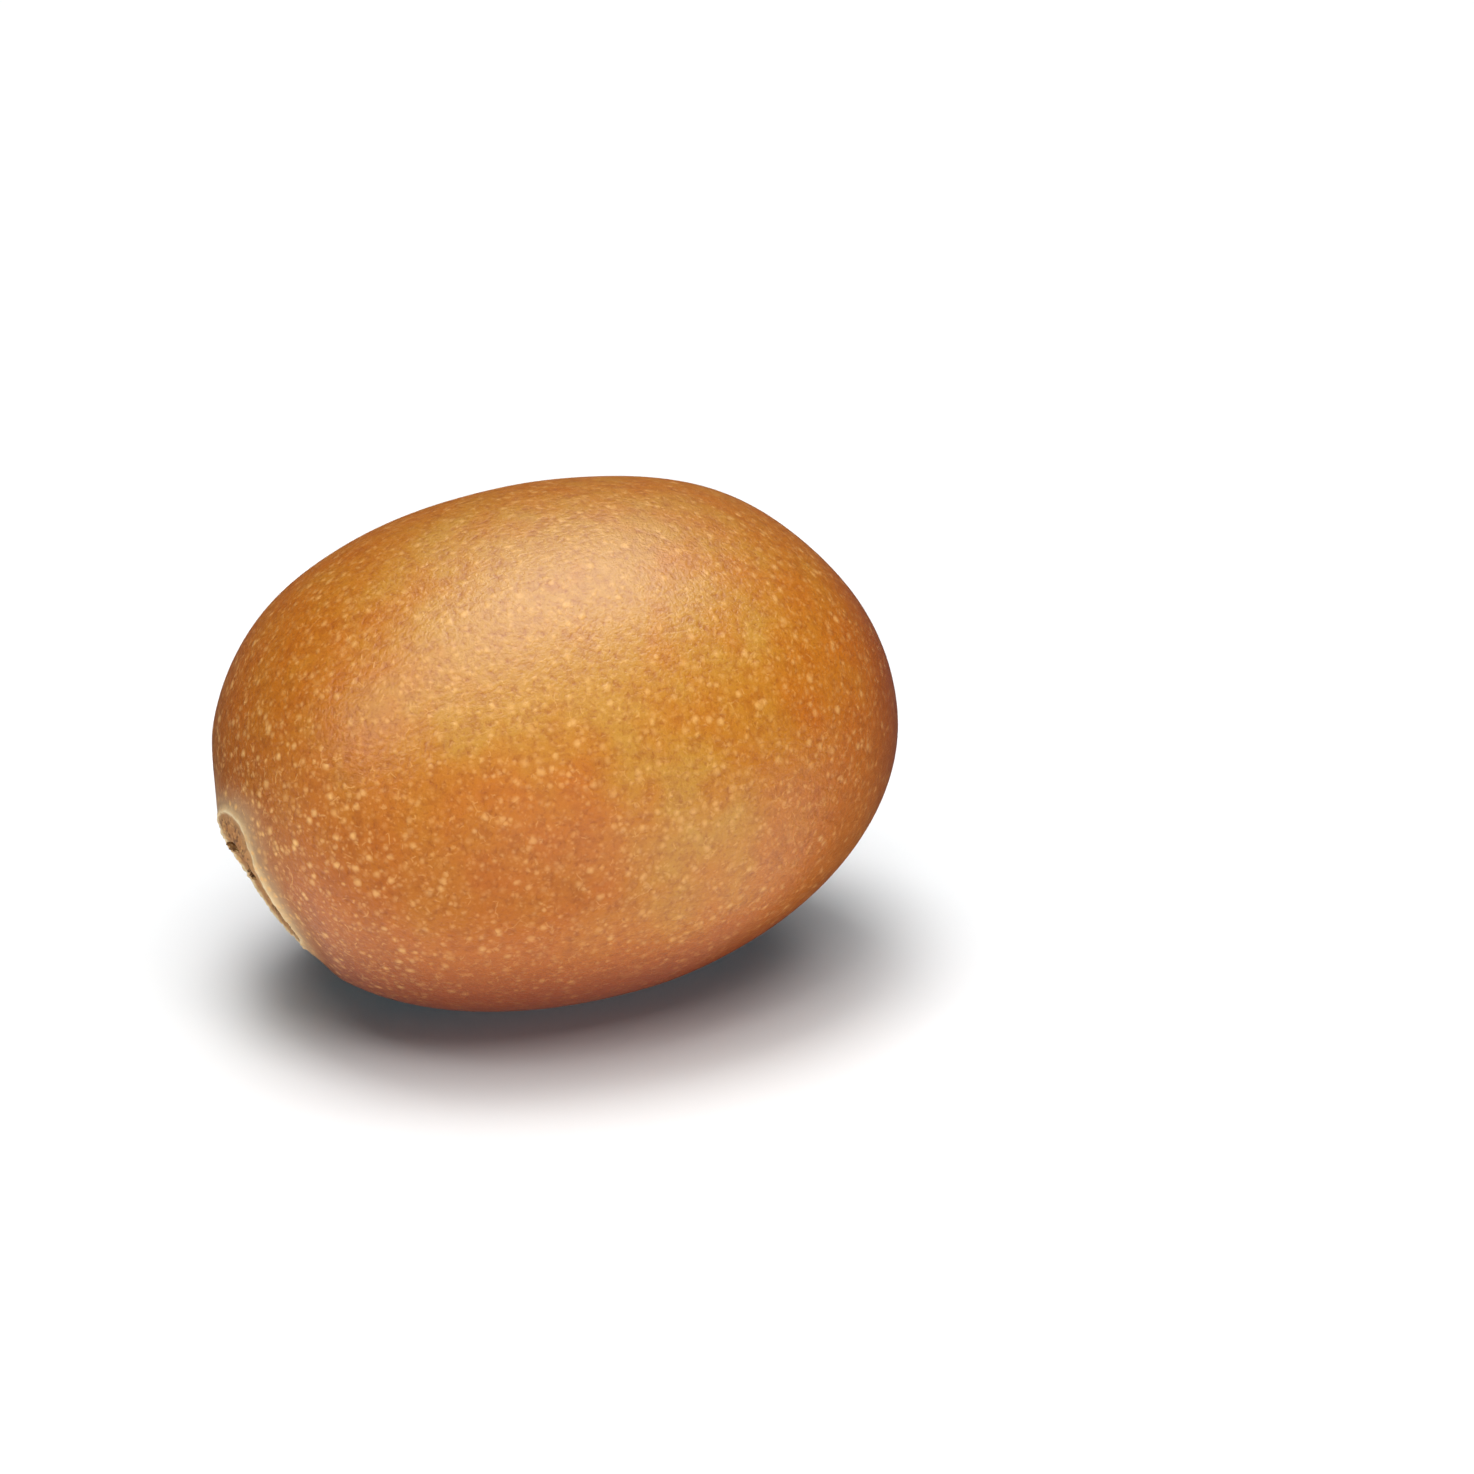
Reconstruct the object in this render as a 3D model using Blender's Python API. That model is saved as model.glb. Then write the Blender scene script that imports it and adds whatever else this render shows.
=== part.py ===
"""A whole golden kiwi fruit, lying on its side on a small flat spot.

The fruit is one grown piece: an oval body with a shallow, oblique cup at the stem end and a small
dimple at the blossom end. Two dried remains sit on it: the woody stalk scar with its five sepals in
the cup, and the tuft of old styles in the dimple.

Metres, +Z up. The origin is on the resting plane, straight below the centre of the body. The long
axis lies along X, with the stem end at -X.
"""

import math
import random

import bmesh
import bpy
from mathutils import Matrix, Quaternion, Vector

MM = 0.001
UP = Vector((0, 0, 1))

# The oval body, measured before the stem end is blunted and the resting spot is cut
LENGTH = 70.0 * MM
WIDTH = 55.0 * MM
HEIGHT = 52.0 * MM
STEM_FULLNESS = 2.26  # exponent of the outline; 2 is an ellipse and more is blunter
BLOSSOM_FULLNESS = 2.07
LEAN = math.radians(3)  # the stem end lies this much lower than the blossom end
REST_CUT = 0.45 * MM  # how much of the underside the resting spot takes away

# Broad swells and flats of the grown body: where they are, seen from its centre, and how high
SWELLS = (
    (Vector((0.60, 0.28, 0.75)), 0.45 * MM),
    (Vector((0.88, 0.08, 0.47)), -0.40 * MM),
    (Vector((0.92, -0.32, -0.20)), 0.35 * MM),
    (Vector((0.45, -0.52, -0.73)), -0.20 * MM),
    (Vector((-0.67, -0.25, -0.70)), 0.30 * MM),
    (Vector((-0.72, 0.45, 0.52)), 0.30 * MM),
    (Vector((-0.95, 0.22, 0.14)), 0.35 * MM),
)
SWELL_SPREAD = math.radians(16)

# The cup at the stem end: where its middle is, as angles seen from the body's centre
STEM_DIP = math.radians(15)
STEM_TURN = math.radians(1.5)
RIM_RADIUS = 7.4 * MM
RIM_LIP = 0.30 * MM
RIM_LIP_WIDTH = 1.5 * MM
RIM_RIPPLE = 0.03  # how far the rim's circle strays, as a share of its radius
RIM_WAVE = 0.12 * MM  # how far it strays from its plane
CUP_FLOOR_RADIUS = 3.3 * MM
CUP_DEPTH = 1.5 * MM

# The dimple at the blossom end
BLOSSOM_RISE = math.radians(3)
BLOSSOM_TURN = math.radians(7)
DIMPLE_RADIUS = 4.8 * MM
DIMPLE_FLOOR_RADIUS = 2.5 * MM
DIMPLE_DEPTH = 0.7 * MM

# Outside its rim each end curves away like the body, and has become the body this much further out
SHOULDER_CURVE = 0.0225 / MM
END_FADE = 6.6 * MM
RING_SCALE = 27.0 * MM  # turns a ring's angle into its distance from the end's axis
NEARBY = 0.01  # how far apart, on the unit ball, the points are that show which way an end faces

# The mesh of the body: rings from the stem end to the blossom end, closer together at both ends
SEGMENTS = 72
RINGS = 52
RING_SHARES = (0.0, 0.30, 0.40, 0.80, 0.87, 1.0)
RING_ANGLES = tuple(math.radians(a) for a in (0, 20, 36, 150, 166, 180))

# Dried remains
GAP = 0.3 * MM  # left between a dried piece and the fruit, so that they don't touch
SCAR_RADIUS = 2.7 * MM
SCAR_CROWN_RADIUS = 2.2 * MM
SCAR_HEIGHT = 1.15 * MM
SCAR_SIDES = 30
SCAR_STEPS = ((0.5 * MM, -0.15 * MM), (0.8 * MM, 0.1 * MM), (0.25 * MM, -0.3 * MM))  # inwards, upwards
SEPAL_COUNT = 5
SEPAL_ROOT = 1.8 * MM
SEPAL_REACH = 5.4 * MM
SEPAL_WIDTH = 3.3 * MM
SEPAL_TAPER = 0.62  # the share of its width that a sepal has lost at its tip
SEPAL_THICKNESS = 0.6 * MM
SEPAL_CLEARANCE = 0.42 * MM
SEPAL_CURL = 0.2 * MM
SEPAL_TROUGH = 0.2 * MM
BUTTON_RADIUS = 1.9 * MM
BUTTON_CROWN_RADIUS = 1.3 * MM
BUTTON_HEIGHT = 0.7 * MM
STYLE_COUNT = 22
STYLE_LENGTH = 3.0 * MM
STYLE_ROOT = 0.34 * MM
STYLE_TIP = 0.16 * MM
STYLE_SUNK = 0.15 * MM  # how far above the button's underside a style is rooted
STYLE_CIRCLE = 1.2 * MM  # the circle that the outermost styles are rooted on
STYLE_LEAN = (math.radians(12), math.radians(62))  # in the middle of the tuft and at its edge
GOLDEN_ANGLE = math.pi * (3 - math.sqrt(5))


def clear_scene():
    for obj in list(bpy.data.objects):
        bpy.data.objects.remove(obj)


def material(name, colour, roughness):
    made = bpy.data.materials.new(name)
    made.use_nodes = True
    shader = made.node_tree.nodes["Principled BSDF"]
    shader.inputs["Base Color"].default_value = (*colour, 1)
    shader.inputs["Roughness"].default_value = roughness
    shader.inputs["Metallic"].default_value = 0.0
    made.diffuse_color = (*colour, 1)
    return made


def smooth_step(value, low, high):
    share = min(1.0, max(0.0, (value - low) / (high - low)))
    return share * share * (3 - 2 * share)


def interpolate(value, places, results):
    """The result at value, on straight runs between the given places."""
    for i in range(1, len(places)):
        if value <= places[i]:
            share = (value - places[i - 1]) / (places[i] - places[i - 1])
            return results[i - 1] + share * (results[i] - results[i - 1])
    return results[-1]


def end_direction(side, rise, turn):
    """Where one end of the fruit is, seen from its centre: side is -1 for the stem end."""
    return Vector((side * math.cos(rise) * math.cos(turn), math.cos(rise) * math.sin(turn), math.sin(rise)))


def body_point(direction):
    """Where the plain oval body lies, seen from its centre in that direction of a unit ball."""
    power = STEM_FULLNESS if direction.x < 0 else BLOSSOM_FULLNESS
    along = abs(direction.x)
    across = math.hypot(direction.y, direction.z)
    reach = (along**power + across**power) ** (-1 / power)
    point = Vector((direction.x * LENGTH, direction.y * WIDTH, direction.z * HEIGHT)) * (reach / 2)
    swell = 0.0
    for place, height in SWELLS:
        swell += height * math.exp(-((direction.angle(place) / SWELL_SPREAD) ** 2))
    return point + point.normalized() * swell


def ball_direction(direction):
    """The direction of the unit ball that body_point sends towards a direction seen from the centre."""
    return Vector((direction.x / LENGTH, direction.y / WIDTH, direction.z / HEIGHT)).normalized()


class End:
    """One end of the fruit: the pole of its rings, the way it faces and the middle of its rim."""

    def __init__(self, side, rise, turn, rim_radius, lip):
        self.rim_radius = rim_radius
        pole = ball_direction(end_direction(side, rise, turn))
        self.ring_turn = UP.rotation_difference(pole)
        spot = body_point(pole)
        beside = body_point((pole + self.ring_turn @ Vector((NEARBY, 0, 0))).normalized())
        above = body_point((pole + self.ring_turn @ Vector((0, NEARBY, 0))).normalized())
        self.axis = (beside - spot).cross(above - spot).normalized()
        self.turn = spot.rotation_difference(self.axis) @ self.ring_turn
        self.middle = spot - self.axis * (SHOULDER_CURVE * rim_radius**2 - lip)

    def point(self, distance, around, height):
        """A point that lies this far from the end's axis and this far outside the plane of its rim."""
        across = self.turn @ Vector((math.cos(around), math.sin(around), 0))
        return self.middle + across * distance + self.axis * height

    def placing(self):
        """The matrix that sets a piece, modelled about +Z on the rim's plane, into this end."""
        return Matrix.Translation(self.middle) @ self.turn.to_matrix().to_4x4()


STEM = End(-1, -STEM_DIP, STEM_TURN, RIM_RADIUS, RIM_LIP)
BLOSSOM = End(1, BLOSSOM_RISE, BLOSSOM_TURN, DIMPLE_RADIUS, 0)


def shoulder(distance, rim_radius):
    """How far the fruit falls away outside the rim of an end."""
    return -SHOULDER_CURVE * (distance**2 - rim_radius**2)


def cup_height(distance, around):
    """The cup's surface, measured outwards from the plane of its rim."""
    wave = RIM_WAVE * (math.cos(2 * around + 2.3) + 0.5 * math.cos(5 * around))
    if distance > RIM_RADIUS:
        lip = smooth_step(distance, RIM_RADIUS, RIM_RADIUS + RIM_LIP_WIDTH)
        return shoulder(distance, RIM_RADIUS) + wave * (1 - lip) - RIM_LIP * lip
    rise = smooth_step(distance, CUP_FLOOR_RADIUS, RIM_RADIUS)
    return wave * rise - CUP_DEPTH * (1 - rise)


def dimple_height(distance):
    """The dimple's surface, measured outwards from the plane of its rim."""
    if distance > DIMPLE_RADIUS:
        return shoulder(distance, DIMPLE_RADIUS)
    return -DIMPLE_DEPTH * (1 - smooth_step(distance, DIMPLE_FLOOR_RADIUS, DIMPLE_RADIUS))


def rippled(distance, around):
    """A distance from an end's axis, made to stray a little as it goes round."""
    return distance * (1 + RIM_RIPPLE * (math.cos(2 * around + 0.6) + 0.4 * math.cos(5 * around)))


def fruit_point(unit):
    """Moves a point of a unit ball, whose pole is at +Z, onto the fruit, about the body's centre."""
    share = math.acos(max(-1.0, min(1.0, unit.z))) / math.pi
    angle = interpolate(share, RING_SHARES, RING_ANGLES)
    around = math.atan2(unit.y, unit.x)
    flat = math.sin(angle)
    distance = RING_SCALE * flat
    blossom_turn = BLOSSOM.ring_turn @ Quaternion((1, 0, 0), math.pi)
    turn = STEM.ring_turn.slerp(blossom_turn, angle / math.pi)
    ball = Vector((flat * math.cos(around), flat * math.sin(around), math.cos(angle)))
    point = body_point(turn @ ball)
    end = STEM if angle < math.pi / 2 else BLOSSOM
    held = 1 - smooth_step(distance, end.rim_radius, end.rim_radius + END_FADE)
    if end is STEM:
        return point.lerp(end.point(rippled(distance, around), around, cup_height(distance, around)), held)
    return point.lerp(end.point(rippled(distance, -around), -around, dimple_height(distance)), held)


def resting():
    """Lays the fruit down: leans it and lifts it, so that the resting plane is Z = 0."""
    lowest = math.hypot(LENGTH / 2 * math.sin(LEAN), HEIGHT / 2 * math.cos(LEAN))
    return Matrix.Translation((0, 0, lowest - REST_CUT)) @ Matrix.Rotation(-LEAN, 4, "Y")


def add_object(name, mesh_maker, finish):
    """A node of the fruit from a bmesh, shaded smooth where its faces meet gently."""
    mesh = bpy.data.meshes.new(name)
    mesh_maker.to_mesh(mesh)
    mesh_maker.free()
    mesh.materials.append(finish)
    mesh.shade_smooth()
    mesh.set_sharp_from_angle(angle=math.radians(35))
    obj = bpy.data.objects.new(name, mesh)
    bpy.context.scene.collection.objects.link(obj)
    return obj


def make_fruit(finish):
    """Skin and flesh as one solid, with the cup, the dimple and the flat spot it rests on."""
    body = bmesh.new()
    bmesh.ops.create_uvsphere(body, u_segments=SEGMENTS, v_segments=RINGS, radius=1)
    for vertex in body.verts:
        vertex.co = fruit_point(vertex.co.normalized())
    body.transform(resting())
    everything = body.verts[:] + body.edges[:] + body.faces[:]
    bmesh.ops.bisect_plane(body, geom=everything, dist=1e-6, plane_co=(0, 0, 0), plane_no=-UP, clear_outer=True)
    cut = [edge for edge in body.edges if edge.is_boundary]
    for edge in cut:
        edge.smooth = False
    bmesh.ops.edgeloop_fill(body, edges=cut)
    bmesh.ops.recalc_face_normals(body, faces=body.faces)
    return add_object("fruit", body, finish)


def joined(name, pieces, finish):
    """One node from overlapping pieces, by one Boolean union on their collection."""
    group = bpy.data.collections.new(name + "_pieces")
    bpy.context.scene.collection.children.link(group)
    for number, piece in enumerate(pieces):
        mesh = bpy.data.meshes.new(f"{name}_piece_{number}")
        piece.to_mesh(mesh)
        piece.free()
        group.objects.link(bpy.data.objects.new(mesh.name, mesh))
    base = group.objects[0]
    group.objects.unlink(base)
    bpy.context.scene.collection.objects.link(base)
    union = base.modifiers.new("union", "BOOLEAN")
    union.operation = "UNION"
    union.operand_type = "COLLECTION"
    union.collection = group
    union.solver = "EXACT"
    bpy.context.view_layer.update()
    evaluated = base.evaluated_get(bpy.context.evaluated_depsgraph_get())
    whole = bmesh.new()
    whole.from_mesh(evaluated.to_mesh())
    evaluated.to_mesh_clear()
    for obj in [base, *group.objects]:
        bpy.data.objects.remove(obj)
    bpy.data.collections.remove(group)
    return add_object(name, whole, finish)


def scar_disc():
    """The corky disc that the stalk broke away from: a low drum with a hollow crown and a pit."""
    disc = bmesh.new()
    bmesh.ops.create_cone(
        disc,
        cap_ends=True,
        segments=SCAR_SIDES,
        radius1=SCAR_RADIUS,
        radius2=SCAR_CROWN_RADIUS,
        depth=SCAR_HEIGHT,
        matrix=Matrix.Translation((0, 0, GAP + SCAR_HEIGHT / 2 - CUP_DEPTH)),
    )
    crown = max(disc.faces, key=lambda face: face.calc_center_median().z)
    for thickness, depth in SCAR_STEPS:
        bmesh.ops.inset_region(disc, faces=[crown], thickness=thickness, depth=depth)
    for vertex in disc.verts:
        around = math.atan2(vertex.co.y, vertex.co.x)
        vertex.co.xy *= 1 + 0.05 * math.cos(3 * around + 1) + 0.03 * math.cos(7 * around)
    return disc


def sepal(around, rng):
    """One dried sepal: a ragged blade rooted in the scar, following the cup and curling up at its tip."""
    blade = bmesh.new()
    bmesh.ops.create_grid(blade, x_segments=7, y_segments=4, size=0.5)
    reach = SEPAL_REACH * rng.uniform(0.9, 1.05)
    width = SEPAL_WIDTH * rng.uniform(0.85, 1.05)
    curl = SEPAL_CURL * rng.uniform(0.5, 1.5)
    for vertex in blade.verts:
        share = vertex.co.x + 0.5
        side = vertex.co.y
        distance = SEPAL_ROOT + share * (reach - SEPAL_ROOT) * (1 - side * side / 2)
        across = width * (1 - SEPAL_TAPER * share * math.sqrt(share)) * rng.uniform(0.92, 1.08)
        height = cup_height(distance, around) + SEPAL_CLEARANCE + curl * share**3
        height += 2 * SEPAL_TROUGH * abs(side) * share
        vertex.co = (distance, side * across, height)
    bmesh.ops.recalc_face_normals(blade, faces=blade.faces)
    if sum(face.normal.z for face in blade.faces) > 0:
        bmesh.ops.reverse_faces(blade, faces=blade.faces)
    bmesh.ops.solidify(blade, geom=blade.faces[:], thickness=SEPAL_THICKNESS)
    bmesh.ops.recalc_face_normals(blade, faces=blade.faces)
    blade.transform(Matrix.Rotation(around, 4, "Z"))
    return blade


def make_calyx(finish):
    """The dried calyx in the cup: the stalk scar and five sepals, grown together."""
    rng = random.Random(5)
    pieces = [scar_disc()]
    for number in range(SEPAL_COUNT):
        turn = 2 * math.pi * (number + rng.uniform(-0.12, 0.12)) / SEPAL_COUNT
        pieces.append(sepal(turn + 0.35, rng))
    for piece in pieces:
        piece.transform(resting() @ STEM.placing())
    return joined("calyx", pieces, finish)


def style_button():
    """The hard little button on the flower's end that the styles grew from."""
    button = bmesh.new()
    bmesh.ops.create_cone(
        button,
        cap_ends=True,
        segments=24,
        radius1=BUTTON_RADIUS,
        radius2=BUTTON_CROWN_RADIUS,
        depth=BUTTON_HEIGHT,
        matrix=Matrix.Translation((0, 0, GAP + BUTTON_HEIGHT / 2 - DIMPLE_DEPTH)),
    )
    return button


def style(number, rng):
    """One dried style: a thin tapered spike, rooted in the button and leaning outwards."""
    out = math.sqrt((number + 0.5) / STYLE_COUNT)
    length = STYLE_LENGTH * rng.uniform(0.6, 1.1)
    lean = STYLE_LEAN[0] + (STYLE_LEAN[1] - STYLE_LEAN[0]) * out + rng.uniform(-0.12, 0.12)
    spike = bmesh.new()
    bmesh.ops.create_cone(
        spike,
        cap_ends=True,
        segments=5,
        radius1=STYLE_ROOT,
        radius2=STYLE_TIP,
        depth=length,
        matrix=Matrix.Translation((0, 0, length / 2)),
    )
    root = Vector((out * STYLE_CIRCLE, 0, GAP + STYLE_SUNK - DIMPLE_DEPTH))
    turn = Matrix.Rotation(number * GOLDEN_ANGLE, 4, "Z")
    spike.transform(turn @ Matrix.Translation(root) @ Matrix.Rotation(lean, 4, "Y"))
    return spike


def make_styles(finish):
    """The dried styles in the dimple, one brittle tuft on a button."""
    rng = random.Random(11)
    pieces = [style_button()]
    pieces += [style(number, rng) for number in range(STYLE_COUNT)]
    for piece in pieces:
        piece.transform(resting() @ BLOSSOM.placing())
    return joined("styles", pieces, finish)


def main():
    clear_scene()
    skin = material("golden_skin", (0.58, 0.25, 0.06), 0.45)
    dried_calyx = material("dried_calyx", (0.20, 0.11, 0.05), 0.85)
    dried_styles = material("dried_styles", (0.09, 0.045, 0.025), 0.85)
    make_fruit(skin)
    make_calyx(dried_calyx)
    make_styles(dried_styles)


main()
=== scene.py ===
# %% [markdown]
# # A golden kiwi fruit
# The imported part brings the fruit's sizes and its place. Its solids are plain: a smooth oval body, a
# dried calyx and a tuft of dried styles. This lesson gives each of them a finer mesh and a real
# finish, and then sets up a small white studio. First the frame is loaded, and its box is kept, so
# that no finished piece reaches outside it.

# %% The imported part
import math
import random

import bmesh
import bpy
from mathutils import Matrix, Quaternion, Vector, noise


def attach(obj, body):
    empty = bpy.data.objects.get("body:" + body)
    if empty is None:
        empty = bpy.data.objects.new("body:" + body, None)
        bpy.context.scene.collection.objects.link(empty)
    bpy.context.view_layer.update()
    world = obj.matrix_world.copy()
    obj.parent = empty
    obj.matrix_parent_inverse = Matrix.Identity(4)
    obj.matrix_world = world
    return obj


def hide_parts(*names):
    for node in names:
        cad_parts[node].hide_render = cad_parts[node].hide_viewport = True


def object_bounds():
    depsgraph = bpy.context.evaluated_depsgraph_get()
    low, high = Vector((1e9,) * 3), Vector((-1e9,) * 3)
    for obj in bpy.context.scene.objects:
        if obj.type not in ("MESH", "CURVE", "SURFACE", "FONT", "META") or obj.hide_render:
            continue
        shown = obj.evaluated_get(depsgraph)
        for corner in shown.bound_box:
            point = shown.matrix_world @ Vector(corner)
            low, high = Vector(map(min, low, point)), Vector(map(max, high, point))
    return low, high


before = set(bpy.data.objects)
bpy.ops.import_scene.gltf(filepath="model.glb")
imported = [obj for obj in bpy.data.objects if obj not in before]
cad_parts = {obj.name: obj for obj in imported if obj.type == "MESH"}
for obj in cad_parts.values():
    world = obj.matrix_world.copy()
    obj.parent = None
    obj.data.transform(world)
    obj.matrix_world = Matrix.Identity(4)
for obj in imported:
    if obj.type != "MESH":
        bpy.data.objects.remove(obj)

MM = 0.001
UP = Vector((0, 0, 1))
packed_box = [list(corner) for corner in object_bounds()]
LOWEST, HIGHEST = packed_box
print("packed box in mm:", [[round(v / MM, 1) for v in corner] for corner in packed_box])

# %% [markdown]
# ## The camera
# The fruit was photographed from its stem end's side, from about 25 degrees up and from more than a
# metre away, with a long lens that hardly makes near things bigger. The camera stands on the line
# through the body's middle and looks a little to the right of it, because the fruit is left of the
# middle of the picture.

# %% Camera
BODY_MIDDLE = Vector((0, 0, 25.6 * MM))
VIEW_TURN = math.radians(-21.7)
VIEW_RISE = math.radians(25)
VIEW_DISTANCE = 1.04
FOCAL_LENGTH = 251.4
SENSOR = 36
AIM_RIGHT = 18.1 * MM
AIM_UP = 0.3 * MM


def direction_of(turn, rise):
    """The way to something seen from the fruit: turn is from the front towards +X, rise is above level."""
    return Vector((math.sin(turn) * math.cos(rise), -math.cos(turn) * math.cos(rise), math.sin(rise)))


to_camera = direction_of(VIEW_TURN, VIEW_RISE)
camera_right = UP.cross(to_camera).normalized()
camera_up = to_camera.cross(camera_right)
lens = bpy.data.cameras.new("long_lens")
lens.lens = FOCAL_LENGTH
lens.sensor_width = SENSOR
lens.clip_start = 0.05
camera = bpy.data.objects.new("camera", lens)
bpy.context.scene.collection.objects.link(camera)
camera.location = BODY_MIDDLE + to_camera * VIEW_DISTANCE
aim = BODY_MIDDLE + camera_right * AIM_RIGHT + camera_up * AIM_UP
camera.rotation_euler = (aim - camera.location).to_track_quat("-Z", "Y").to_euler()
bpy.context.scene.camera = camera
print("camera at", [round(v, 3) for v in camera.location])

# %% [markdown]
# ## The studio
# The fruit lies on a white table. A big softbox hangs over it, a little behind and to the right: its
# mirror image is the broad highlight on top. A second softbox and a strip light on the left draw the
# highlight on down to the stem end, and weak ones behind and in front soften its edges. Two matt
# panels, without a mirror image, fill the side that faces the camera from in front and from below, as
# a white bounce does. Each light is linked either to the fruit or to the table, so that the fills
# don't wash out the shadow: that comes from four softboxes of the table's own. A faint cool light
# takes the fruit's warm bounce out of it, so that it stays a neutral grey. Three dark cards lie on
# the table, as photographers use them, one behind the fruit and two in front of it: only mirror
# reflections see them, and they keep the colour deep. The table is covered with rolled background
# paper, whose matt fibres give the eye a soft shadow and no mirror image. The cards are uncoated, so
# that they are as dull and dark as card can be.

# %% Studio
TABLE_SIZE = 6.0
PAPER_WHITE = "#E6E6E6"
PAPER_ROUGHNESS = 0.8
SURROUND = 0.01
FRUIT_LIGHTS = {
    "main_softbox": {"turn": 112, "rise": 73, "away": 2.0, "size": (1.4, 1.2), "watts": 28},
    "left_softbox": {"turn": -60, "rise": 74, "away": 2.0, "size": (1.3, 1.3), "watts": 18.2},
    "back_softbox": {"turn": 153, "rise": 50, "away": 2.0, "size": (1.3, 1.1), "watts": 6.5},
    "front_softbox": {"turn": 12, "rise": 52, "away": 2.0, "size": (1.4, 1.0), "watts": 3.6},
    "strip_light": {"turn": -77, "rise": 36, "away": 1.7, "size": (0.7, 0.8), "watts": 7.5},
    "front_panel": {"turn": -5, "rise": 10, "away": 1.7, "size": (1.4, 1.0), "watts": 18, "matt": True},
    "bounce_panel": {"turn": 5, "rise": -15, "away": 1.7, "size": (1.4, 0.8), "watts": 4, "matt": True},
}
TABLE_LIGHTS = {
    "table_right": {"turn": 112, "rise": 73, "away": 2.0, "size": (1.6, 1.4), "watts": 13},
    "table_left": {"turn": -60, "rise": 74, "away": 2.0, "size": (1.3, 1.3), "watts": 18},
    "table_back": {"turn": 200, "rise": 80, "away": 2.0, "size": (1.0, 1.0), "watts": 21},
    "table_front": {"turn": 0, "rise": 60, "away": 2.0, "size": (1.2, 0.9), "watts": 12},
    "shadow_lift": {"turn": 0, "rise": 90, "away": 2.0, "size": (1.5, 1.5), "watts": 3.6, "matt": True},
}
LIFT_COLOUR = "#B8ECFC"
CARD_LIFT = 0.4 * MM
CARD_BLACK = "#101010"
CARD_ROUGHNESS = 0.9
CARDS = {
    "back_card": {"size": (2.4, 1.2), "place": (0, 0.59, CARD_LIFT)},
    "front_card": {"size": (0.9, 1.22), "place": (-0.42, -0.648, CARD_LIFT)},
    "right_card": {"size": (0.9, 1.1), "place": (0.49, -0.71, CARD_LIFT)},
}
lit = {name: bpy.data.collections.new("light_on_" + name) for name in ("fruit", "table")}


def linear(hex_colour):
    """The linear colour, with alpha, of an sRGB hex value such as #C98A3A."""
    shares = [int(hex_colour[i : i + 2], 16) / 255 for i in (1, 3, 5)]
    return (*(v / 12.92 if v <= 0.04045 else ((v + 0.055) / 1.055) ** 2.4 for v in shares), 1)


def add_node(tree, kind, inputs=None, stops=(), **settings):
    """A node with its settings and links. An input takes a value, an output, or a node, which stands for the
    first of its outputs that is in use. A colour ramp also takes stops, which are places and hex colours."""
    made = tree.nodes.new(kind)
    for name, value in settings.items():
        setattr(made, name, value)
    for _ in stops[2:]:
        made.color_ramp.elements.new(1.0)
    for number, (place, hex_colour) in enumerate(stops):
        made.color_ramp.elements[number].position = place
        made.color_ramp.elements[number].color = linear(hex_colour)
    for socket, value in (inputs or {}).items():
        if isinstance(value, bpy.types.Node):
            value = next(output for output in value.outputs if output.enabled)
        if isinstance(value, bpy.types.NodeSocket):
            tree.links.new(value, made.inputs[socket])
        else:
            made.inputs[socket].default_value = value
    return made


def add_light(name, turn, rise, away, size, watts, only, matt=False):
    """A softbox that faces the fruit and lights either it or the table. The camera never sees it, from any side."""
    lamp = bpy.data.lights.new(name, "AREA")
    lamp.shape = "RECTANGLE"
    lamp.size, lamp.size_y = size
    lamp.energy = watts
    placed = bpy.data.objects.new(name, lamp)
    bpy.context.scene.collection.objects.link(placed)
    way = direction_of(math.radians(turn), math.radians(rise))
    placed.location = BODY_MIDDLE + way * away
    placed.rotation_euler = way.to_track_quat("Z", "Y").to_euler()
    placed.visible_camera = False
    placed.visible_glossy = not matt
    placed.light_linking.receiver_collection = lit[only]
    if matt:
        placed.light_linking.blocker_collection = lit[only]


for only, lights in (("fruit", FRUIT_LIGHTS), ("table", TABLE_LIGHTS)):
    for name, facts in lights.items():
        add_light(name, only=only, **facts)
bpy.data.lights["shadow_lift"].color = linear(LIFT_COLOUR)[:3]

world = bpy.data.worlds.new("grey_surround")
world.use_nodes = True
world.node_tree.nodes["Background"].inputs["Color"].default_value = (1, 1, 1, 1)
world.node_tree.nodes["Background"].inputs["Strength"].default_value = SURROUND
bpy.context.scene.world = world
bpy.context.scene.view_settings.view_transform = "Standard"


def add_sheet(name, finish, size, place, hex_colour, roughness):
    """A flat sheet of one colour that belongs to the studio."""
    shape = bmesh.new()
    bmesh.ops.create_grid(shape, x_segments=1, y_segments=1, size=0.5)
    bmesh.ops.scale(shape, vec=(*size, 1), verts=shape.verts)
    bmesh.ops.translate(shape, vec=place, verts=shape.verts)
    mesh = bpy.data.meshes.new(name)
    shape.to_mesh(mesh)
    shape.free()
    paper = bpy.data.materials.new(finish)
    paper.use_nodes = True
    shader = paper.node_tree.nodes["Principled BSDF"]
    shader.inputs["Base Color"].default_value = linear(hex_colour)
    shader.inputs["Roughness"].default_value = roughness
    mesh.materials.append(paper)
    sheet = bpy.data.objects.new(name, mesh)
    bpy.context.scene.collection.objects.link(sheet)
    return sheet


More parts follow.
